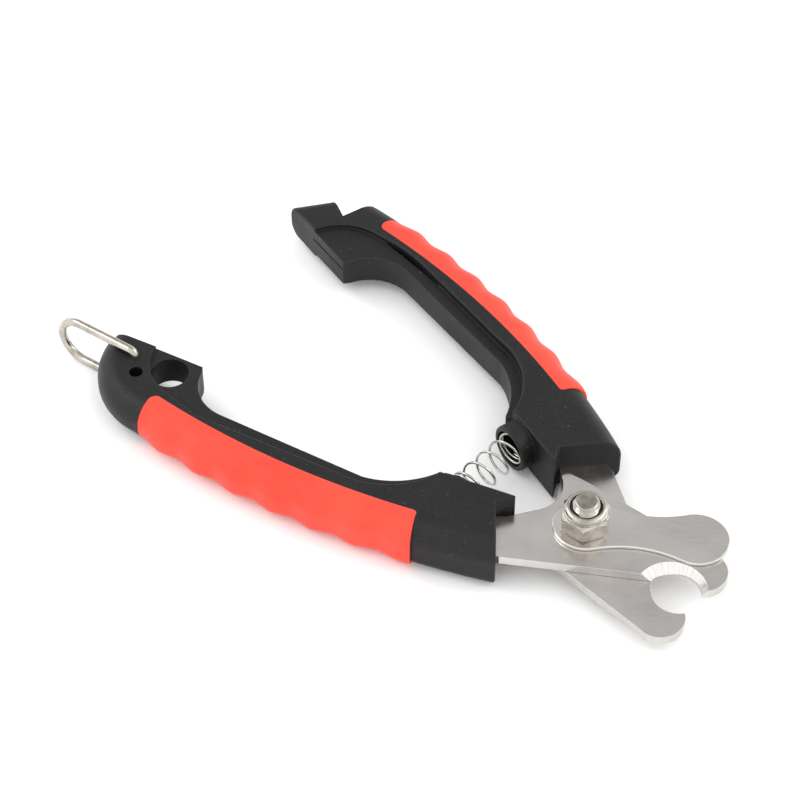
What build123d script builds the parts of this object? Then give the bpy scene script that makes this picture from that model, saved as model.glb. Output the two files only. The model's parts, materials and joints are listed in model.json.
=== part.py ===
from build123d import *
import math
import os

# Pet nail clipper of the plier kind: two notched blades crossing on one bolt, each moulded
# into its own handle, held apart by a compression spring, with a swinging nail guard above
# the blades and a wire bail that locks the handles shut.
#
# Every piece is drawn with the clipper shut, in a layout frame: the bolt is at x = y = 0,
# +X points to the tips, and the blades meet at z = 0. A handle and its blade are drawn on
# the +Y side and mirrored for the right hand. place() opens them and stands them up.

# ---- driving dimensions, mm ------------------------------------------------------------
open_angle = 13.9             # each handle from the shut position to the open stop, degrees
blade_thickness = 2.2
blade_gap = 0.03              # half the running gap between the blades
fit_gap = 0.05                # running gap between stacked moving pieces
joint_gap = 0.15              # half the gap between the handles when shut

bolt_radius = 3.0
bolt_hole_radius = 3.06
bolt_top = 10.7
head_height = 3.6
nut_height = 6.0
hex_across_flats = 10.0

notch_center = (24.4, 6.7)
notch_radius = 5.8
bevel_width = 1.8
bevel_shift = (-0.5, 0.3)     # the grind is a little wider at the heel of the notch

handle_mid_z = 0.8
handle_front_half = 6.4       # half thickness at the lug
handle_tail_half = 4.7        # half thickness at the tail
handle_front_x = -15.0
handle_tail_x = -105.0
top_round = 5.2               # the back's rounding, above and below
bottom_round = 3.2
edge_round = 0.5
nose_round = 3.4              # the left tail's end, above and below
nose_x = -115.0
rib_half = 3.6

grip_front_x = -32.0
grip_rear_x = -101.0
grip_waves = 7
grip_wave_height = 0.85
grip_wall = 1.8

boss_x = -28.6
boss_radius = 5.5
pocket_radius = 4.4
pocket_depth = 4.2
scoop_span = (-34.5, -22.5)   # the right boss is scooped away above, along X
scoop_face = ((3.3, 5.95), (3.3, 7.2), (-1.0, 7.2), (-1.0, -0.4))

spring_radius = 3.6           # to the middle of the wire
spring_wire = 0.3
spring_pitch = 4.3
spring_half_length = 9.4
spring_shift = 0.3            # the open seats lean, so their mean axis is off the mouths

nut_turn = 4.0                # how far the nut stopped turned, degrees

guard_thickness = 0.8
guard_round = 7.1
guard_reach = 24.3
guard_neck = 4.7
guard_angle = 32.4            # from the centre line, as it rests swung aside

bail_pivot = (-111.4, 5.2)
bail_wire = 1.0
bail_hole_radius = 1.08
bail_length = 21.6            # pivot to the middle of the loop's end wire
bail_pin = 4.0
bail_bend = 1.6
bail_angle = 5.5              # leaning towards the other handle as it rests
bail_clear = 0.25

hang_hole = (-102.2, 5.3)
hang_hole_radius = 4.4
vent_hole = (-108.6, 9.4)
vent_hole_radius = 1.65

lug_tip = (-15.5, 3.0)
front_inner = (-18.5, 6.4)
front_outer = (-12.0, 19.1)
back_crown = (-52.0, 24.5)
back_rear = (-103.0, 20.0)
tail_inner_x = -96.6          # where the tail's flat inner face starts
groove_z = 1.7                # groove along the left tail's inner face
groove_size = (13.0, 0.9, 0.6)


# ---- placing ---------------------------------------------------------------------------
def place(solid, side, turn=open_angle):
    """Open a piece by its side's angle: +1 left handle, -1 right handle, 0 neither."""
    if side < 0:
        solid = mirror(solid, about=Plane.XZ)
    return solid.rotate(Axis.Z, -side * turn)


def handle_half(x):
    """Half thickness of the handle at x: the handle thins evenly towards its tail."""
    share = (x - handle_front_x) / (handle_tail_x - handle_front_x)
    return handle_front_half + share * (handle_tail_half - handle_front_half)


def wedge(inset=0.0):
    """The slab between the handle's sloping top and bottom faces, inset on both."""
    near, far = 0.0, -130.0
    with BuildPart() as slab:
        with BuildSketch(Plane.XZ):
            Polygon(
                (near, handle_mid_z + handle_half(near) - inset),
                (far, handle_mid_z + handle_half(far) - inset),
                (far, handle_mid_z - handle_half(far) + inset),
                (near, handle_mid_z - handle_half(near) + inset),
                align=None,
            )
        extrude(amount=40, both=True)
    return slab.part


# ---- handle outlines -------------------------------------------------------------------
def land_outline(round_tail):
    """Full-height part of the handle, seen from above."""
    with BuildSketch() as outline:
        with BuildLine():
            Polyline((-33.3, 4.3), lug_tip, front_inner, front_outer)
            ThreePointArc(front_outer, back_crown, back_rear)
            if round_tail:
                ThreePointArc(back_rear, (-115.4, 14.6), (-121.0, 4.2))
                Polyline((-121.0, 4.2), (-118.8, joint_gap), (-109.0, joint_gap))
            else:
                ThreePointArc(back_rear, (-106.2, 18.6), (-109.2, 16.6))
                Polyline((-109.2, 16.6), (-109.3, 8.5), (-116.2, 10.2), (-120.2, joint_gap),
                         (-109.0, joint_gap))
            ThreePointArc((-109.0, joint_gap), (-105.3, 8.0), (-98.5, 11.6))
            ThreePointArc((-98.5, 11.6), (-90.0, 13.9), (-82.0, 14.5))
            Line((-82.0, 14.5), (-53.0, 14.9))
            ThreePointArc((-53.0, 14.9), (-40.5, 12.2), (-33.3, 4.3))
        make_face()
    return outline.sketch


def rib_outline():
    """Lower rib along the inside of the handle, from the spring boss to the tail."""
    with BuildSketch() as outline:
        with BuildLine():
            Line((-30.0, 6.0), (-34.6, 3.4))
            ThreePointArc((-34.6, 3.4), (-40.6, 9.1), (-48.5, 12.0))
            Line((-48.5, 12.0), (-85.0, 11.0))
            ThreePointArc((-85.0, 11.0), (-92.9, 7.7), (-95.9, 1.6))
            Line((-95.9, 1.6), (tail_inner_x, joint_gap))
            Polyline((tail_inner_x, joint_gap), (-112.0, joint_gap), (-112.0, 8.0),
                     (-99.0, 12.0), (-60.0, 16.5), (-40.0, 14.0), (-30.0, 6.0))
        make_face()
    return outline.sketch


def back_point(share, rise=0.0):
    """A point along the back's arc, from 0 at the front to 1 at the rear, raised outwards."""
    arc = ThreePointArc(front_outer, back_crown, back_rear, mode=Mode.PRIVATE)
    return arc.position_at(share) + Vector(0, rise)


def back_shape(rises, inset=0.0):
    """Plan of everything inside the grip's back, its edge run through the rises in turn."""
    start, stop = 0.19, 0.97
    step = (stop - start) / (len(rises) - 1)
    with BuildSketch() as outline:
        with BuildLine():
            back = [back_point(start + step * i, rise - inset) for i, rise in enumerate(rises)]
            back.append(back_point(1.0, -inset))
            Spline(*back)
            Polyline(back[-1], (back[-1].X, 0), (back[0].X, 0), back[0])
        make_face()
    return outline.sketch


def grip_outline():
    """The soft grip seen from above: its inner edge is a long arc, its back is waved."""
    front = (grip_front_x + 3.0, 30.0)
    rear = (grip_rear_x - 1.6, 30.0)
    with BuildSketch() as outline:
        with BuildLine():
            Line(front, (grip_front_x, 18.0))
            ThreePointArc((grip_front_x, 18.0), (grip_front_x - 0.4, 17.2), (grip_front_x - 1.2, 17.0))
            ThreePointArc((grip_front_x - 1.2, 17.0), (-66.0, 18.0), (grip_rear_x + 1.2, 13.6))
            ThreePointArc((grip_rear_x + 1.2, 13.6), (grip_rear_x, 14.2), (grip_rear_x - 0.5, 15.6))
            Polyline((grip_rear_x - 0.5, 15.6), rear, front)
        make_face()
    return outline.sketch


# ---- handles ---------------------------------------------------------------------------
def back_edges(builder, above):
    """The long edges of the handle's back, either above or below its middle."""
    long_edges = builder.edges().filter_by(lambda e: e.center().Y > 14.9 and e.length > 20)
    return long_edges.filter_by(lambda e: (e.center().Z > handle_mid_z) == above)


def rim_edges(builder):
    """The sharp edges of the flat top and bottom: lines and arcs, not the back's splines."""
    flats = builder.faces().filter_by(lambda f: abs(f.normal_at().Z) > 0.95 and f.area > 100)
    return flats.edges().filter_by(lambda e: e.geom_type != GeomType.BSPLINE)


def handle_blank(round_tail):
    """The handle's full-height part, its back rounded over above and below."""
    with BuildPart() as blank:
        with BuildSketch():
            add(land_outline(round_tail))
        extrude(amount=30, both=True)
        add(wedge(), mode=Mode.INTERSECT)
        fillet(back_edges(blank, above=True), top_round)
        fillet(back_edges(blank, above=False), bottom_round)
        if not round_tail:
            nose = blank.faces().sort_by(Axis.X)[0].edges()
            fillet(nose.filter_by(lambda e: abs(e.center().Z - handle_mid_z) > nose_round), nose_round)
        fillet(rim_edges(blank).filter_by(lambda e: e.center().X > nose_x), edge_round)
    return blank.part


def spring_boss():
    """Round boss on the inner side that holds one end of the spring."""
    with BuildPart() as boss:
        with Locations((boss_x, joint_gap, handle_mid_z)):
            Cylinder(boss_radius, 9.0, rotation=(-90, 0, 0),
                     align=(Align.CENTER, Align.CENTER, Align.MIN))
        fillet(boss.edges().sort_by(Axis.Y)[0], edge_round)
    return boss.part


def spring_pocket():
    """The blind pocket in the boss, from its mouth to the seat of the spring."""
    with BuildPart() as pocket:
        with Locations((boss_x, joint_gap - 1, handle_mid_z)):
            Cylinder(pocket_radius, pocket_depth + 1, rotation=(-90, 0, 0),
                     align=(Align.CENTER, Align.CENTER, Align.MIN))
    return pocket.part


def grip_prism():
    """Everything above and below the grip's plan."""
    with BuildPart() as prism:
        with BuildSketch():
            add(grip_outline())
        extrude(amount=30, both=True)
    return prism.part


def back_solid(plan, inset=0.0):
    """A plan brought up to the handle's thickness, with its back rounded over."""
    with BuildPart() as back:
        with BuildSketch():
            add(plan)
        extrude(amount=30, both=True)
        add(wedge(inset), mode=Mode.INTERSECT)
        fillet(back_edges(back, above=True), top_round - inset)
        fillet(back_edges(back, above=False), bottom_round - inset)
    return back.part


def grip_core():
    """The part of the handle that the grip is moulded round."""
    return back_solid(back_shape([0, 0, 0], grip_wall), grip_wall * 0.7)


def grip_solid():
    """The soft grip: a waved skin wrapped round the handle's back from top to bottom."""
    waves = [grip_wave_height * (i % 2) for i in range(2 * grip_waves + 1)]
    with BuildPart() as grip:
        add(back_solid(back_shape(waves)))
        add(grip_prism(), mode=Mode.INTERSECT)
        add(grip_core(), mode=Mode.SUBTRACT)
    return grip.part


def rib_solid():
    with BuildPart() as rib:
        with BuildSketch(Plane.XY.offset(handle_mid_z)):
            add(rib_outline())
        extrude(amount=rib_half, both=True)
    return rib.part


# ---- blades ----------------------------------------------------------------------------
def blade_outline():
    """One blade with its tang, ear and hook, before the notch is cut."""
    with BuildSketch() as outline:
        with BuildLine():
            Polyline((-12.5, 16.5), (18.7, 5.4), (29.75, 4.45))
            ThreePointArc((29.75, 4.45), (33.0, -0.6), (29.7, -5.75))
            Polyline((29.7, -5.75), (-5.2, -11.9), (-9.0, -12.3))
            ThreePointArc((-9.0, -12.3), (-10.4, -11.9), (-10.8, -10.6))
            ThreePointArc((-10.8, -10.6), (-8.6, -5.6), (-10.8, 0.2))
            Polyline((-10.8, 0.2), (-16.0, 5.3), (-19.5, 7.4), (-26.0, 11.0), (-44.0, 15.0),
                     (-44.0, 19.4), (-22.0, 18.2), (-12.5, 16.5))
        make_face()
    return outline.sketch


tang_holes = [(-26.0, 14.6), (-37.0, 16.4)]
tang_hole_radius = 1.8


def blade_solid(bottom, bevel_up):
    """A blade standing on z = bottom, its notch ground from the side away from the other."""
    height = blade_thickness - blade_gap
    with BuildPart() as blade:
        with BuildSketch(Plane.XY.offset(bottom)):
            add(blade_outline())
            Circle(bolt_hole_radius, mode=Mode.SUBTRACT)
            with Locations(notch_center):
                Circle(notch_radius, mode=Mode.SUBTRACT)
            with Locations(*tang_holes):
                Circle(tang_hole_radius, mode=Mode.SUBTRACT)
        extrude(amount=height)
        x, y = notch_center
        radii = [notch_radius - 0.02, notch_radius + bevel_width]
        with Locations((x + bevel_shift[0], y + bevel_shift[1], bottom)):
            if bevel_up:
                Cone(radii[0], radii[1], height, align=(Align.CENTER, Align.CENTER, Align.MIN),
                     mode=Mode.SUBTRACT)
            else:
                Cone(radii[1], radii[0], height, align=(Align.CENTER, Align.CENTER, Align.MIN),
                     mode=Mode.SUBTRACT)
    return blade.part


# ---- the two handles -------------------------------------------------------------------
def handle_body(round_tail, blade):
    """A handle without its grip, moulded round its blade's tang."""
    with BuildPart() as body:
        add(handle_blank(round_tail))
        add(grip_prism(), mode=Mode.SUBTRACT)
        add(grip_core() & grip_prism())
        add(rib_solid())
        add(spring_boss())
        add(spring_pocket(), mode=Mode.SUBTRACT)
        add(blade, mode=Mode.SUBTRACT)
    return body.part


# ---- the pieces, drawn shut ------------------------------------------------------------
with BuildPart() as upper_blade:
    add(blade_solid(blade_gap, bevel_up=True))

with BuildPart() as lower_blade:
    add(blade_solid(-blade_thickness, bevel_up=False))

with BuildPart() as right_handle_body:
    add(handle_body(round_tail=True, blade=upper_blade.part))
    with BuildSketch(Plane.YZ.offset(scoop_span[0])):
        Polygon(*scoop_face, align=None)
    extrude(amount=scoop_span[1] - scoop_span[0], mode=Mode.SUBTRACT)
    with Locations((*hang_hole, 0)):
        Hole(hang_hole_radius, depth=40)
    with Locations((*vent_hole, 0)):
        Hole(vent_hole_radius, depth=40)
    with Locations((*bail_pivot, 0)):
        Hole(bail_hole_radius, depth=40)

with BuildPart() as left_handle_body:
    add(handle_body(round_tail=False, blade=lower_blade.part))
    with Locations((tail_inner_x, joint_gap, groove_z)):
        Box(*groove_size, align=(Align.MAX, Align.CENTER, Align.CENTER), mode=Mode.SUBTRACT)

with BuildPart() as right_handle_grip:
    add(grip_solid())

with BuildPart() as left_handle_grip:
    add(grip_solid())

head_top = -blade_thickness - fit_gap
with BuildPart() as pivot_bolt:
    with BuildSketch(Plane.XY.offset(head_top - head_height)):
        RegularPolygon(hex_across_flats / 2, 6, major_radius=False)
    extrude(amount=head_height)
    under_head = pivot_bolt.faces().sort_by(Axis.Z)[0]
    chamfer(under_head.edges(), 0.5)
    with BuildSketch(Plane.XY.offset(head_top)):
        Circle(bolt_radius)
    extrude(amount=bolt_top - head_top)
    chamfer(pivot_bolt.edges().sort_by(Axis.Z)[-1], 0.45)

guard_bottom = blade_thickness + fit_gap
nut_bottom = guard_bottom + guard_thickness + fit_gap
crown_bottom = nut_bottom + 4.4
crown_radius = 4.75
insert_radius = 4.0
insert_height = 1.3
with BuildPart() as lock_nut:
    with BuildSketch(Plane.XY.offset(nut_bottom)):
        RegularPolygon(hex_across_flats / 2, 6, major_radius=False, rotation=nut_turn)
    extrude(amount=crown_bottom - nut_bottom)
    hex_ends = lock_nut.faces().filter_by(GeomType.PLANE).filter_by(Axis.Z)
    chamfer(hex_ends.edges(), 0.35)
    with BuildSketch(Plane.XY.offset(crown_bottom)):
        Circle(crown_radius)
    extrude(amount=nut_bottom + nut_height - crown_bottom)
    fillet(lock_nut.faces().sort_by(Axis.Z)[-1].edges(), 0.6)
    with Locations((0, 0, nut_bottom)):
        Cylinder(bolt_radius, nut_height + 1, align=(Align.CENTER, Align.CENTER, Align.MIN),
                 mode=Mode.SUBTRACT)
    with Locations((0, 0, crown_bottom)):
        Cylinder(insert_radius, insert_height, align=(Align.CENTER, Align.CENTER, Align.MIN),
                 mode=Mode.SUBTRACT)
        Cylinder(insert_radius - 0.5, nut_height, align=(Align.CENTER, Align.CENTER, Align.MIN),
                 mode=Mode.SUBTRACT)

with BuildPart() as nut_insert:
    with BuildSketch(Plane.XY.offset(crown_bottom)):
        Circle(insert_radius)
        Circle(bolt_radius, mode=Mode.SUBTRACT)
    extrude(amount=insert_height)

# the neck's two sides are arcs that touch both round ends
half_reach = guard_reach / 2
neck_arc = (half_reach ** 2 + guard_neck ** 2 - guard_round ** 2) / (2 * (guard_round - guard_neck))
neck_angle = math.atan2(guard_neck + neck_arc, half_reach)
touch = (guard_round * math.cos(neck_angle), guard_round * math.sin(neck_angle))
with BuildPart() as safety_guard:
    with BuildSketch(Plane.XY.offset(guard_bottom)):
        with BuildLine():
            near, far = Vector(*touch), Vector(guard_reach - touch[0], touch[1])
            down, up = Vector(near.X, -near.Y), Vector(far.X, -far.Y)
            ThreePointArc(near, (half_reach, guard_neck), far)
            ThreePointArc(far, (guard_reach + guard_round, 0), up)
            ThreePointArc(up, (half_reach, -guard_neck), down)
            ThreePointArc(down, (-guard_round, 0), near)
        make_face()
        Circle(bolt_hole_radius, mode=Mode.SUBTRACT)
    extrude(amount=guard_thickness)
    rims = safety_guard.faces().filter_by(Axis.Z).edges().filter_by(lambda e: e.length > 20)
    chamfer(rims, 0.15)

seat_x = boss_x * math.cos(math.radians(open_angle)) + spring_shift
with BuildPart() as spring:
    with BuildLine():
        coil = Helix(spring_pitch, 2 * spring_half_length, spring_radius,
                     center=(seat_x, -spring_half_length, handle_mid_z), direction=(0, 1, 0))
    with BuildSketch(Plane(origin=coil @ 0, z_dir=coil % 0)):
        Circle(spring_wire)
    sweep(is_frenet=True)

bail_half = handle_half(bail_pivot[0]) + bail_clear + bail_wire
straight = bail_length - bail_half
with BuildPart() as lock_bail:
    with BuildLine(Plane.XZ.offset(-bail_pivot[1])):
        x, z = bail_pivot[0], handle_mid_z
        upper = FilletPolyline((x, z + bail_half - bail_pin), (x, z + bail_half),
                               (x - straight, z + bail_half), radius=bail_bend)
        lower = FilletPolyline((x - straight, z - bail_half), (x, z - bail_half),
                               (x, z - bail_half + bail_pin), radius=bail_bend)
        ThreePointArc(upper @ 1, (x - bail_length, z), lower @ 0)
    with BuildSketch(Plane(origin=upper @ 0, z_dir=upper % 0)):
        Circle(bail_wire)
    sweep()

bail_axis = Axis((*bail_pivot, 0), (0, 0, 1))
leaning_bail = lock_bail.part.rotate(bail_axis, bail_angle)

# ---- opened, stood on the lowest point, the bolt on the middle plane ---------------------
LEFT, RIGHT, NEITHER = 1, -1, 0
layout = [
    ("upper_blade", place(upper_blade.part, RIGHT)),
    ("right_handle_body", place(right_handle_body.part, RIGHT)),
    ("right_handle_grip", place(right_handle_grip.part, RIGHT)),
    ("lower_blade", place(lower_blade.part, LEFT)),
    ("left_handle_body", place(left_handle_body.part, LEFT)),
    ("left_handle_grip", place(left_handle_grip.part, LEFT)),
    ("pivot_bolt", place(pivot_bolt.part, NEITHER)),
    ("lock_nut", place(lock_nut.part, NEITHER)),
    ("nut_insert", place(nut_insert.part, NEITHER)),
    ("safety_guard", safety_guard.part.rotate(Axis.Z, guard_angle)),
    ("spring", place(spring.part, NEITHER)),
    ("lock_bail", place(leaning_bail, RIGHT)),
]
box = Compound([piece for _, piece in layout]).bounding_box()
origin = Vector(box.center().X, 0, box.min.Z)

os.makedirs("parts", exist_ok=True)
for name, piece in layout:
    with BuildPart() as finished:
        add(piece.moved(Location(-origin)))
    finished.part.label = name
    export_step(finished.part, f"parts/{name}.step")

print("bolt axis and blade contact height:", -origin)
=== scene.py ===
import json
import math

import bpy
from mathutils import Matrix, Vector


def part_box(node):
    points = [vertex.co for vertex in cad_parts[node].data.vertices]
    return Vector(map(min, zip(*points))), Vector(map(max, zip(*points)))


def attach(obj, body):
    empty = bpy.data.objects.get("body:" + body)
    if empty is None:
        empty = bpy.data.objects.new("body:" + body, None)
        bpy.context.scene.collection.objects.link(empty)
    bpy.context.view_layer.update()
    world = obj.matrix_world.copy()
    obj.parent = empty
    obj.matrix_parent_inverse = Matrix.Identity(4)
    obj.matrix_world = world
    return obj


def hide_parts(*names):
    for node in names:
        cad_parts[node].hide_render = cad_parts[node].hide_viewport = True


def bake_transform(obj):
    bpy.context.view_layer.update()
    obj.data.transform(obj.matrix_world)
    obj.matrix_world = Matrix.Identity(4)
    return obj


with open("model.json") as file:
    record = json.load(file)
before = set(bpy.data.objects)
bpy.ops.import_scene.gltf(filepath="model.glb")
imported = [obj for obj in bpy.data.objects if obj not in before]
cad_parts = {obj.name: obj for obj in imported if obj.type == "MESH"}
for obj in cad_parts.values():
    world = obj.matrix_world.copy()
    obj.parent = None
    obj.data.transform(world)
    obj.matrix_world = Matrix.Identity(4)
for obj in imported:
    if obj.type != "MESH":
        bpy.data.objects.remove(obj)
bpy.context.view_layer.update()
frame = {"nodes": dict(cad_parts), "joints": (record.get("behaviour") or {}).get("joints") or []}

# Pet nail clipper: the CAD pieces get procedural materials, and the lock nut, its nylon ring,
# the bolt and the spring are replaced by finer meshes. Places are in metres. The profiles of
# turned pieces are in mm, as pairs of a height and a radius.
MM = 0.001
joints = {joint["name"]: joint for joint in frame["joints"]}
pivot = Vector(joints["handle_pivot"]["pos_m"])
open_angle = math.radians(13.9)          # each handle from the shut position

# ---- camera and light, driving values --------------------------------------------------
eye_from_pivot = Vector((0.2266, -0.3084, 0.4474))
aim_from_pivot = Vector((-0.05634, 0.00236, 0.0))
lens_mm, sensor_mm = 121.5, 36.0
clip_near, clip_far = 0.01, 20.0
soft_boxes = {                           # place, width and depth, power in watts
    "soft_box_left": ((-0.75, -0.35, 0.85), (0.9, 0.5), 3.2),
    "soft_box_back": ((0.55, 0.75, 0.75), (0.9, 0.35), 2.6),
}
dim_side = Vector((-0.46, 0.51, 0.73))   # the part of the sky that flat steel mirrors
dim_from, dim_to = 0.55, 0.99            # cosines of the angle to it where the sky dims
sky_bright, sky_dim = 1.45, 0.72
floor_size = 3.0


def clamp(value):
    return max(0.0, min(1.0, value))


# ---- camera at the photo's angle, and soft light ---------------------------------------
def look_camera(eye, target):
    data = bpy.data.cameras.new("camera")
    data.lens = lens_mm
    data.sensor_width = sensor_mm
    data.clip_start = clip_near
    data.clip_end = clip_far
    camera = bpy.data.objects.new("camera", data)
    bpy.context.scene.collection.objects.link(camera)
    camera.location = eye
    camera.rotation_euler = (target - eye).to_track_quat("-Z", "Y").to_euler()
    bpy.context.scene.camera = camera


def soft_box(name, place, size, power):
    """An area light that faces the middle of the floor."""
    data = bpy.data.lights.new(name, "AREA")
    data.shape = "RECTANGLE"
    data.size, data.size_y = size
    data.energy = power
    light = bpy.data.objects.new(name, data)
    bpy.context.scene.collection.objects.link(light)
    light.location = place
    light.rotation_euler = (-Vector(place)).to_track_quat("-Z", "Y").to_euler()


look_camera(pivot + eye_from_pivot, pivot + aim_from_pivot)
for name, (place, size, power) in soft_boxes.items():
    soft_box(name, place, size, power)
bpy.context.scene.view_settings.view_transform = "Standard"


# ---- node helpers ----------------------------------------------------------------------
def add_node(tree, kind, inputs=(), **settings):
    """A shader node with its settings, and each input linked or given a value."""
    node = tree.nodes.new("ShaderNode" + kind)
    for key, value in settings.items():
        setattr(node, key, value)
    for key, value in dict(inputs).items():
        if isinstance(value, bpy.types.NodeSocket):
            tree.links.new(value, node.inputs[key])
        else:
            node.inputs[key].default_value = value
    return node


class Look:
    """A procedural material being put together round one Principled shader."""

    def __init__(self, name, **shader_values):
        self.material = bpy.data.materials.new(name)
        self.material.use_nodes = True
        self.tree = self.material.node_tree
        self.shader = self.tree.nodes["Principled BSDF"]
        for key, value in shader_values.items():
            self.shader.inputs[key.replace("_", " ")].default_value = value
        self.place = self.node("TexCoord").outputs["Object"]

    def node(self, kind, inputs=(), **settings):
        return add_node(self.tree, kind, inputs, **settings)

    def noise(self, scale, detail=2.0, vector=None, roughness=0.5):
        inputs = {"Vector": vector or self.place, "Scale": scale, "Detail": detail,
                  "Roughness": roughness}
        return self.node("TexNoise", inputs).outputs["Fac"]

    def grain(self, size, turn=0.0):
        """The place in the piece in units of size, turned about Z, for grain in one direction."""
        inputs = {"Vector": self.place, "Rotation": (0, 0, turn), "Scale": size}
        return self.node("Mapping", inputs, vector_type="TEXTURE").outputs["Vector"]

    def span(self, value, low, high, to_low=0.0, to_high=1.0):
        inputs = {"Value": value, "From Min": low, "From Max": high, "To Min": to_low,
                  "To Max": to_high}
        return self.node("MapRange", inputs).outputs["Result"]

    def math(self, operation, first, second=0.0):
        return self.node("Math", {0: first, 1: second}, operation=operation).outputs[0]

    def part(self, value, share):
        """A share of a value."""
        return self.math("MULTIPLY", value, share)

    def mixed(self, share, first, second):
        """One colour passing into another. Either is a colour's socket or its three values."""
        share_input, first_input, second_input, color_output = 0, 6, 7, 2
        inputs = {share_input: share}
        for index, color in ((first_input, first), (second_input, second)):
            inputs[index] = color if isinstance(color, bpy.types.NodeSocket) else (*color, 1)
        return self.node("Mix", inputs, data_type="RGBA").outputs[color_output]

    def edges(self, radius):
        """A normal rounded at the edges, and how near to an edge a point is."""
        flat_cosine, edge_cosine = 0.995, 0.86
        soft = self.node("Bevel", {"Radius": radius}, samples=4).outputs["Normal"]
        flat = self.node("NewGeometry").outputs["Normal"]
        turned = self.node("VectorMath", {0: soft, 1: flat}, operation="DOT_PRODUCT")
        return soft, self.span(turned.outputs["Value"], flat_cosine, edge_cosine)

    def bump(self, height, strength, distance, normal=None):
        inputs = {"Height": height, "Strength": strength, "Distance": distance}
        if normal:
            inputs["Normal"] = normal
        return self.node("Bump", inputs).outputs["Normal"]

    def finish(self, color, roughness, normal):
        for key, socket in (("Base Color", color), ("Roughness", roughness), ("Normal", normal)):
            self.tree.links.new(socket, self.shader.inputs[key])
        return self.material


# ---- materials -------------------------------------------------------------------------
def handle_plastic():
    """Black plastic moulded with a fine spark texture, shinier where it rubs, lighter at the edges
    as wear and painted highlight.
    """
    black, soot, speckle = (0.003, 0.003, 0.0033), (0.010, 0.009, 0.0105), (0.030, 0.029, 0.032)
    worn_and_highlit_edge, dusty = (0.060, 0.060, 0.063), (0.30, 0.30, 0.29)
    look = Look("handle_plastic_look", Specular_IOR_Level=0.30)
    spark = look.noise(scale=2200, detail=3.0)
    cloud = look.noise(scale=90, detail=4.0)
    soft, edge = look.edges(radius=0.35 * MM)
    dust = look.span(look.noise(scale=1500, detail=1.0), low=0.745, high=0.765)
    color = look.mixed(cloud, black, soot)
    color = look.mixed(look.span(spark, low=0.50, high=0.75, to_high=0.30), color, speckle)
    # wear and painted highlight: the edges mixed towards a lighter grey
    color = look.mixed(look.part(edge, 0.50), color, worn_and_highlit_edge)
    color = look.mixed(look.part(dust, 0.18), color, dusty)
    roughness = look.span(cloud, low=0.3, high=0.7, to_low=0.40, to_high=0.56)
    roughness = look.math("SUBTRACT", roughness, look.part(edge, 0.08))
    return look.finish(color, roughness, look.bump(spark, 1.0, distance=0.10 * MM, normal=soft))


def grip_rubber():
    """Soft coral-red rubber: matt, faintly mottled, with fine pores."""
    deep, coral, pale = (0.76, 0.042, 0.022), (0.85, 0.062, 0.032), (0.89, 0.085, 0.045)
    grimy, shaded = (0.42, 0.03, 0.02), (0.60, 0.035, 0.02)
    look = Look("grip_rubber_look", Specular_IOR_Level=0.30, Sheen_Weight=0.12,
                Sheen_Roughness=0.5)
    pores = look.noise(scale=2100, detail=3.0)
    mottle = look.noise(scale=150, detail=5.0, roughness=0.62)
    cloud = look.noise(scale=38, detail=2.0)
    grime = look.span(look.noise(scale=620, detail=2.0), low=0.70, high=0.76)
    soft, edge = look.edges(radius=0.3 * MM)
    color = look.mixed(look.span(mottle, low=0.3, high=0.7), deep, coral)
    color = look.mixed(look.part(look.span(cloud, low=0.45, high=0.75), 0.35), color, pale)
    color = look.mixed(look.part(grime, 0.30), color, grimy)
    color = look.mixed(look.part(edge, 0.25), color, shaded)
    roughness = look.span(mottle, low=0.3, high=0.7, to_low=0.52, to_high=0.68)
    return look.finish(color, roughness, look.bump(pores, 0.40, distance=0.05 * MM, normal=soft))


def ground_marks(look, middle, reach_limit):
    """Where the notch is ground, and the cutting marks that run round from its middle."""
    flat_normal_z = 0.9                  # steeper faces than this are the grind, not the flats
    arm = look.node("VectorMath", {0: look.place, 1: middle}, operation="SUBTRACT").outputs[0]
    parts = look.node("SeparateXYZ", {0: arm}).outputs
    around = look.math("ARCTAN2", parts["Y"], parts["X"])
    flat = look.node("CombineXYZ", {0: parts["X"], 1: parts["Y"]}).outputs[0]
    reach = look.node("VectorMath", {0: flat}, operation="LENGTH").outputs["Value"]
    upright = look.node("SeparateXYZ", {0: look.node("NewGeometry").outputs["True Normal"]})
    sloping = look.math("LESS_THAN", look.math("ABSOLUTE", upright.outputs["Z"]), flat_normal_z)
    ground = look.part(look.math("LESS_THAN", reach, reach_limit), sloping)
    turns = look.node("CombineXYZ", {0: around, 1: look.part(reach, 20.0)}).outputs[0]
    return ground, look.noise(scale=17.0, detail=3.0, vector=turns, roughness=0.7)


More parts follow.
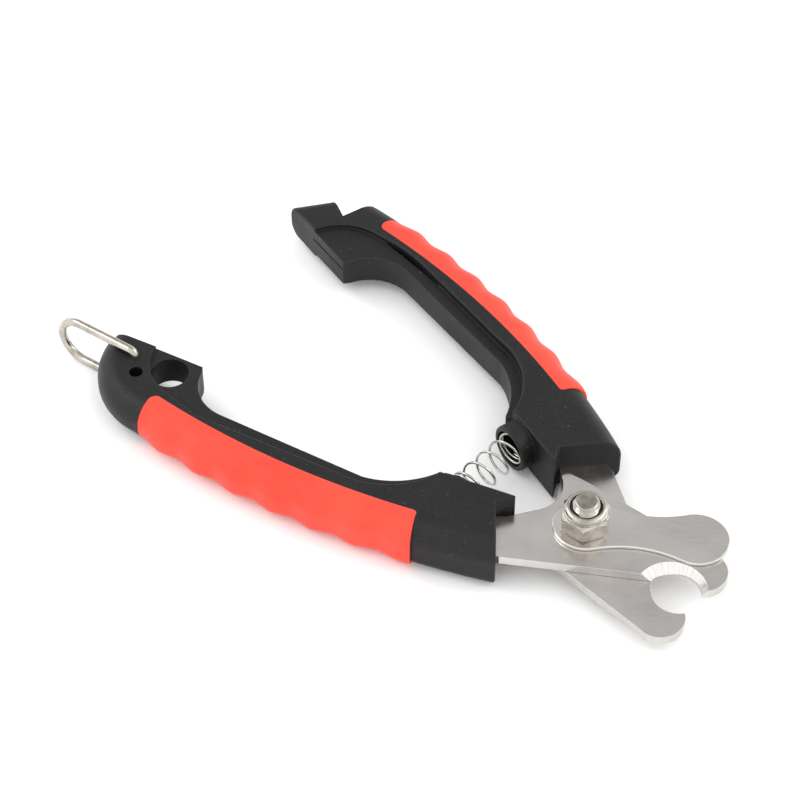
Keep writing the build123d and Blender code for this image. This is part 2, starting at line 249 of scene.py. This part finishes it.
def ground_steel(name, turn, pale, dark, rough, notch=None):
    """Ground steel: fine lines in one direction, cutting marks round the notch, edges lighter as
    wear and painted highlight.
    """
    worn_and_highlit_edge, fresh_cut = (0.80, 0.79, 0.77), (0.74, 0.73, 0.71)
    line_length, line_width = 4.2 * MM, 0.19 * MM
    look = Look(name, Metallic=1.0)
    along = look.grain((line_length, line_width, line_length), turn)
    lines = look.noise(scale=1.0, detail=4.0, vector=along, roughness=0.6)
    broad = look.noise(scale=70, detail=3.0)
    smudge = look.noise(scale=210, detail=5.0, roughness=0.65)
    soft, edge = look.edges(radius=0.14 * MM)
    color = look.mixed(look.span(broad, low=0.32, high=0.68), dark, pale)
    color = look.mixed(look.part(look.span(lines, low=0.35, high=0.65), 0.45), color, pale)
    # wear and painted highlight: the edges mixed towards a brighter steel
    color = look.mixed(look.part(edge, 0.65), color, worn_and_highlit_edge)
    roughness = look.span(smudge, low=0.3, high=0.7, to_low=rough[0], to_high=rough[1])
    roughness = look.math("SUBTRACT", roughness, look.part(edge, 0.10))
    height = look.part(lines, 0.6)
    if notch:
        ground, marks = ground_marks(look, *notch)
        bright = look.span(marks, low=0.36, high=0.64, to_low=0.15)
        color = look.mixed(look.part(ground, bright), color, fresh_cut)
        height = look.math("ADD", height, look.part(look.part(ground, marks), 2.2))
    return look.finish(color, roughness, look.bump(height, 0.10, distance=0.02 * MM, normal=soft))


def plated(name, pale, dark, rough, radius):
    """Bright plating: nearly a mirror, with small dents, duller patches and a painted highlight on
    the edges.
    """
    worn_and_highlit_edge = (0.93, 0.91, 0.88)
    look = Look(name, Metallic=1.0)
    dents = look.noise(scale=900, detail=3.0)
    patches = look.noise(scale=260, detail=4.0, roughness=0.6)
    soft, edge = look.edges(radius)
    color = look.mixed(look.span(patches, low=0.32, high=0.68), dark, pale)
    # painted highlight: the edges mixed towards a near-white plating colour
    color = look.mixed(look.part(edge, 0.6), color, worn_and_highlit_edge)
    roughness = look.span(patches, low=0.3, high=0.7, to_low=rough[0], to_high=rough[1])
    return look.finish(color, roughness, look.bump(dents, 0.14, distance=0.03 * MM, normal=soft))


def ring_nylon():
    """The nut's nylon ring, scuffed by the thread, near black as painted shade of the gap it sits
    in.
    """
    # painted shade: the near-black colour is the shadow in the gap between the bolt and the nut's
    # crown, laid on the ring
    black, scuffed = (0.010, 0.010, 0.011), (0.050, 0.050, 0.052)
    scuff_length, scuff_width = 1.1 * MM, 0.24 * MM
    look = Look("ring_nylon_look", Specular_IOR_Level=0.35)
    around = look.grain((scuff_length, scuff_length, scuff_width))
    scuffs = look.noise(scale=1.0, detail=3.0, vector=around)
    color = look.mixed(look.span(scuffs, low=0.35, high=0.7), black, scuffed)
    roughness = look.span(scuffs, low=0.3, high=0.7, to_low=0.40, to_high=0.62)
    return look.finish(color, roughness, look.bump(scuffs, 0.4, distance=0.05 * MM))


def notch_of(side):
    """Where the notch is ground in a side's blade, open: its middle, and how far it reaches."""
    along, aside, ground_reach = 23.9 * MM, 7.0 * MM, 7.7 * MM
    turn = -side * open_angle
    middle = (pivot.x + along * math.cos(turn) - side * aside * math.sin(turn),
              pivot.y + along * math.sin(turn) + side * aside * math.cos(turn), 0)
    return middle, ground_reach


LEFT, RIGHT = 1, -1
blade_grain, guard_grain = 1.2, 0.55     # direction of the grinding lines, radians
plastic, rubber, nylon = handle_plastic(), grip_rubber(), ring_nylon()
nickel = plated("nickel_look", pale=(0.60, 0.56, 0.50), dark=(0.27, 0.245, 0.21),
                rough=(0.10, 0.22), radius=0.12 * MM)
wire = plated("wire_look", pale=(0.70, 0.68, 0.65), dark=(0.42, 0.40, 0.375),
              rough=(0.10, 0.20), radius=0.05 * MM)
blade_colors = {"pale": (0.66, 0.635, 0.61), "dark": (0.50, 0.48, 0.46)}
upper_steel = ground_steel("upper_blade_look", blade_grain + open_angle, rough=(0.15, 0.26),
                           notch=notch_of(RIGHT), **blade_colors)
lower_steel = ground_steel("lower_blade_look", blade_grain - open_angle, rough=(0.20, 0.32),
                           notch=notch_of(LEFT), **blade_colors)
guard_steel = ground_steel("guard_look", guard_grain, pale=(0.70, 0.675, 0.65),
                           dark=(0.55, 0.53, 0.51), rough=(0.13, 0.22))
looks = {
    "upper_blade": upper_steel, "lower_blade": lower_steel, "safety_guard": guard_steel,
    "right_handle_body": plastic, "left_handle_body": plastic,
    "right_handle_grip": rubber, "left_handle_grip": rubber,
    "lock_bail": nickel, "lock_nut": nickel, "pivot_bolt": nickel,
    "nut_insert": nylon, "spring": wire,
}
for name, node in frame["nodes"].items():
    for slot in node.material_slots:
        slot.material = looks[name]


# ---- mesh helpers ----------------------------------------------------------------------
turned_sharp_angle, wire_sharp_angle = math.radians(28), math.radians(40)


def mesh_piece(name, points, faces, look, sharp_angle):
    mesh = bpy.data.meshes.new(name)
    mesh.from_pydata(points, [], faces)
    mesh.validate()
    mesh.shade_smooth()
    mesh.set_sharp_from_angle(angle=sharp_angle)
    mesh.materials.append(look)
    piece = bpy.data.objects.new(name, mesh)
    bpy.context.scene.collection.objects.link(piece)
    return piece


def hex_radius(angle, turn, half_flats=5.0):
    """How far a hexagon reaches at an angle, in mm, with a corner at turn."""
    sector = math.radians(60)
    return half_flats / math.cos((angle - turn) % sector - sector / 2)


def spun_piece(name, rings, look, turn, center, steps=180, closed=False):
    """Rings about the bolt's axis. Each is a height and a radius, or a radius at each angle."""
    points, faces = [], []
    for height, radius in rings:
        for i in range(steps):
            angle = turn + 2 * math.pi * i / steps
            reach = (radius(angle) if callable(radius) else radius) * MM
            points.append((center.x + reach * math.cos(angle), center.y + reach * math.sin(angle),
                           center.z + height * MM))
    pairs = list(zip(range(len(rings)), range(1, len(rings))))
    if closed:
        pairs.append((len(rings) - 1, 0))
    for low, high in pairs:
        for i in range(steps):
            j = (i + 1) % steps
            faces.append((low * steps + i, low * steps + j, high * steps + j, high * steps + i))
    if not closed:
        faces.append(tuple(reversed(range(steps))))
        faces.append(tuple((len(rings) - 1) * steps + i for i in range(steps)))
    return mesh_piece(name, points, faces, look, turned_sharp_angle)


def in_hex(turn, cap):
    """A hexagon with its corners turned off at the radius cap."""
    return lambda angle: min(cap, hex_radius(angle, turn))


# ---- lock nut, nylon ring and bolt -----------------------------------------------------
nut_turn = math.radians(4)
nut_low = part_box("lock_nut")[0]
nut_foot = Vector((pivot.x, pivot.y, nut_low.z))
corner_cap = 5.78                        # past the hexagon's corners, so they stay sharp
foot_chamfer = [(0.0, 4.95), (0.12, 5.18), (0.28, 5.45)]
hex_sides = [(height, corner_cap) for height in (0.46, 1.4, 2.6, 3.45)]
top_chamfer = [(3.62, 5.64), (3.80, 5.46), (3.98, 5.28), (4.14, 5.10), (4.26, 4.98)]
groove = [(4.30, 4.78), (4.36, 4.62), (4.44, 4.58), (4.52, 4.64), (4.60, 4.72)]
rolled_crown = [(4.95, 4.75), (5.30, 4.72), (5.55, 4.62), (5.74, 4.46), (5.88, 4.26), (5.96, 4.04),
                (6.00, 3.84), (5.98, 3.70), (5.90, 3.60), (5.78, 3.54), (5.60, 3.52)]
nut_bore = [(4.60, 3.52), (4.56, 3.12), (0.30, 3.10), (0.0, 3.30)]
hex_caps = foot_chamfer + hex_sides + top_chamfer
nut_rings = [(height, in_hex(nut_turn, cap)) for height, cap in hex_caps]
nut_rings += groove + rolled_crown + nut_bore
nut = spun_piece("lock_nut_detail", nut_rings, nickel, nut_turn, nut_foot, closed=True)
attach(nut, "right_side")
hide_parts("lock_nut")

ring_section = [(4.62, 3.04), (4.62, 3.48), (5.44, 3.50), (5.56, 3.44), (5.62, 3.34), (5.60, 3.20),
                (5.52, 3.08), (5.40, 3.04)]
ring = spun_piece("nylon_ring_detail", ring_section, nylon, 0.0, nut_foot, closed=True)
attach(ring, "right_side")
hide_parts("nut_insert")

bolt_low, bolt_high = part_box("pivot_bolt")
bolt_foot = Vector((pivot.x, pivot.y, bolt_low.z))
bolt_length = (bolt_high.z - bolt_low.z) / MM
thread_pitch, crest, root = 1.0, 2.98, 2.50
thread_length, thread_run_in, thread_step = 2.6, 0.5, 0.055
thread_start = bolt_length - thread_length
flank_gain, crest_flat = 1.35, 0.10      # how steep the flanks are, and how flat the crest is
cone_drop, cone_radius = 0.10, 2.44      # the end cone's radius this far below the bolt's end
cone_slope, cone_least = 0.95, 2.30
tip_drop = 0.08                          # the threads stop this far below the bolt's end


def thread_radius(height, angle):
    """Radius of the thread at a height, its end turned off to a blunt cone."""
    share = ((height / thread_pitch) - angle / (2 * math.pi)) % 1.0
    depth = clamp(flank_gain * (1 - abs(2 * share - 1)) - crest_flat)
    fade = clamp((height - thread_start) / thread_run_in)
    cone = cone_radius + (bolt_length - cone_drop - height) * cone_slope
    return min(crest - (crest - root) * depth * fade, max(cone, cone_least))


head_caps = [(0.0, 4.70), (0.04, 4.90), (0.20, 5.16), (0.42, 5.50), (0.62, corner_cap),
             (1.8, corner_cap), (3.30, corner_cap), (3.46, 5.60), (3.56, 5.30)]
head = [(height, in_hex(0.0, cap)) for height, cap in head_caps]
shank = [(3.60, 4.80), (3.60, 3.20), (3.64, crest), (6.0, crest), (10.0, crest),
         (thread_start, crest)]
thread_rings = int((bolt_length - tip_drop - thread_start) / thread_step)
threads = []
for i in range(1, thread_rings):
    height = thread_start + i * thread_step
    threads.append((height, lambda angle, height=height: thread_radius(height, angle)))
tip_from_end = [(0.07, 2.36), (0.03, 2.26), (0.0, 2.02), (0.0, 1.2), (0.0, 0.4)]
tip = [(bolt_length - drop, radius) for drop, radius in tip_from_end]
bolt = spun_piece("pivot_bolt_detail", head + shank + threads + tip, nickel, 0.0, bolt_foot)
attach(bolt, "right_side")
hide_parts("pivot_bolt")


# ---- spring with closed ends -----------------------------------------------------------
spring_low, spring_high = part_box("spring")
spring_middle = (spring_low + spring_high) / 2
wire_radius, end_clearance = 0.3 * MM, 0.1 * MM
coil_radius = (spring_high.x - spring_low.x) / 2 - wire_radius
coil_reach = (spring_high.y - spring_low.y) / 2 - wire_radius - end_clearance
coil_pitch, closed_pitch = 4.3 * MM, 0.72 * MM
coil_phase = math.radians(180)
close_start, close_end = 6.9 * MM, 8.3 * MM
coil_steps, wire_sides = 56, 14          # points round a turn, and round the wire


def coil_run(way):
    """The wire's turns from the spring's middle to one end, drawing together at the end."""
    along, turn, run = 0.0, 0.0, []
    step = 2 * math.pi / coil_steps
    while along < coil_reach:
        share = clamp((along - close_start) / (close_end - close_start))
        share = share * share * (3 - 2 * share)
        along += (coil_pitch + (closed_pitch - coil_pitch) * share) / coil_steps
        turn += step
        run.append((way * along, way * turn))
    return run


path = list(reversed(coil_run(-1))) + [(0.0, 0.0)] + coil_run(1)
spring_points, spring_faces = [], []
for along, turn in path:
    angle = coil_phase + turn
    out = Vector((math.cos(angle), 0, -math.sin(angle)))
    ahead = Vector((-math.sin(angle), 0, -math.cos(angle))) * coil_radius
    side = (ahead + Vector((0, coil_pitch / (2 * math.pi), 0))).normalized().cross(out)
    middle = spring_middle + out * coil_radius + Vector((0, along, 0))
    for i in range(wire_sides):
        around = 2 * math.pi * i / wire_sides
        rim = out * math.cos(around) + side * math.sin(around)
        spring_points.append(middle + rim * wire_radius)
for row in range(len(path) - 1):
    first, second = row * wire_sides, (row + 1) * wire_sides
    for i in range(wire_sides):
        j = (i + 1) % wire_sides
        spring_faces.append((first + i, first + j, second + j, second + i))
spring_faces.append(tuple(reversed(range(wire_sides))))
spring_faces.append(tuple((len(path) - 1) * wire_sides + i for i in range(wire_sides)))
coil = mesh_piece("spring_coil", spring_points, spring_faces, wire, wire_sharp_angle)
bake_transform(coil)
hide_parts("spring")


# ---- floor and surroundings ------------------------------------------------------------
paper_grey, paper_white = (0.93, 0.93, 0.93), (0.95, 0.95, 0.95)
paper = Look("floor_paper_look")
fibre = paper.noise(scale=900, detail=3.0)
floor_color = paper.mixed(paper.noise(scale=3.0, detail=2.0), paper_grey, paper_white)
floor_rough = paper.span(fibre, low=0.3, high=0.7, to_low=0.80, to_high=0.90)
paper.finish(floor_color, floor_rough, paper.bump(fibre, 0.05, distance=0.02 * MM))
bpy.ops.mesh.primitive_plane_add(size=floor_size)
floor = bpy.context.object
floor.name = "floor"
floor.data.materials.append(paper.material)

world = bpy.data.worlds.new("studio")
bpy.context.scene.world = world
world.use_nodes = True
sky = world.node_tree
direction = add_node(sky, "TexCoord").outputs["Generated"]
toward = add_node(sky, "VectorMath", {0: direction, 1: dim_side.normalized()},
                  operation="DOT_PRODUCT").outputs["Value"]
strength = add_node(sky, "MapRange", {"Value": toward, "From Min": dim_from, "From Max": dim_to,
                                      "To Min": sky_bright, "To Max": sky_dim},
                    interpolation_type="SMOOTHSTEP")
background = sky.nodes["Background"]
background.inputs["Color"].default_value = (1.0, 1.0, 1.0, 1)
sky.links.new(strength.outputs["Result"], background.inputs["Strength"])
